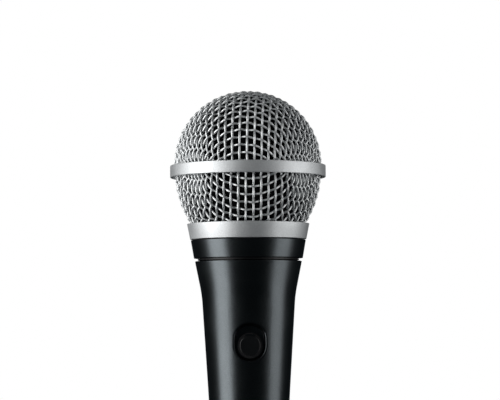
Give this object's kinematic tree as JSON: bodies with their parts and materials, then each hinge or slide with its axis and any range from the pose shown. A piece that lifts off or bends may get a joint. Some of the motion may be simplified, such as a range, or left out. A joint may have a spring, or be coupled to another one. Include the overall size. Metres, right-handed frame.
{
  "type": "dynamic microphone",
  "caption": "Handheld dynamic vocal microphone with a woven ball grille, a banded head, a flared tapered handle with a slide switch, and a three-pin connector in its tail.",
  "frame": {"origin": "centre of the flat rim of the connector end, which it stands on", "axes": "+Z along the microphone's axis towards the grille; -Y is the side with the slide switch; +X is to the right of it"},
  "size_m": [0.053, 0.053, 0.163],
  "materials": {
    "satin_silver": "bead-blasted satin silver",
    "wire_steel": "bright woven wire",
    "black_paint": "satin metallic black",
    "black_plastic": "fine moulded",
    "foam": "open-cell foam",
    "rubber": "matte",
    "steel": "plated",
    "magnet": "nickel plated",
    "copper": "enamelled winding",
    "brass": "plated contact",
    "film": "thin formed film",
    "board": "solder mask",
    "cloth": "acoustic felt",
    "red_wire": "insulation",
    "white_wire": "insulation",
    "black_wire": "insulation"
  },
  "bodies": {
    "handle": {"handle_body": "black_paint", "name_ring": "black_paint", "threaded_neck": "black_plastic", "shock_mount": "rubber", "xlr_insert": "black_plastic", "xlr_pin_1": "brass", "xlr_pin_2": "brass", "xlr_pin_3": "brass", "xlr_set_screw": "steel", "output_lead_1": "black_wire", "output_lead_2": "red_wire", "output_lead_3": "white_wire", "switch_carrier": "black_plastic", "switch_pcb": "board", "switch_base": "black_plastic", "switch_frame": "steel", "switch_terminal_1": "brass", "switch_terminal_2": "brass", "switch_terminal_3": "brass", "pcb_screw_1": "steel", "pcb_screw_2": "steel", "cartridge_lead_hot": "red_wire", "cartridge_lead_cold": "black_wire"},
    "switch": {"switch_button": "black_plastic", "switch_shutter": "black_plastic", "switch_slider": "black_plastic", "moving_contact": "brass"},
    "cartridge": {"cartridge_housing": "black_plastic", "cartridge_tag_hot": "brass", "cartridge_tag_cold": "brass", "yoke_cup": "steel", "magnet": "magnet", "pole_disc": "steel", "diaphragm_seat": "brass", "rear_port_cloth": "cloth", "resonator_cap": "black_plastic", "front_felt": "cloth"},
    "moving_coil": {"diaphragm": "film", "voice_coil": "copper"},
    "windscreen": {"foam_dome": "foam", "foam_skirt": "foam"},
    "grille": {"grille_dome": "wire_steel", "grille_skirt": "wire_steel", "grille_band": "satin_silver", "grille_collar": "satin_silver"}
  },
  "joints": [
    {"name": "switch_slide", "type": "slide", "parent": "handle", "child": "switch", "axis": [0, 0, 1], "range_m": [0, 0.0022]},
    {"name": "grille_rise", "type": "slide", "parent": "handle", "child": "windscreen", "axis": [0, 0, 1], "range_m": [0, 0.00601]},
    {"name": "grille_unscrew", "type": "hinge", "parent": "windscreen", "child": "grille", "pos_m": [0, 0, 0.1124], "axis": [0, 0, 1], "range_deg": [0, 1440]},
    {"name": "cartridge_float", "type": "slide", "parent": "handle", "child": "cartridge", "axis": [0, 0, 1], "range_m": [-0.0008, 0.0008], "stiffness_N_per_m": 1500, "springref_m": 0.00018, "deforming": ["shock_mount", "cartridge_lead_hot", "cartridge_lead_cold"]},
    {"name": "diaphragm_travel", "type": "slide", "parent": "cartridge", "child": "moving_coil", "axis": [0, 0, 1], "range_m": [-0.0002, 0.0002], "stiffness_N_per_m": 400, "springref_m": 0.00004}
  ],
  "couplings": [
    {"joint": "grille_rise", "follows": "grille_unscrew", "m_per_rad": 0.00023873}
  ]
}
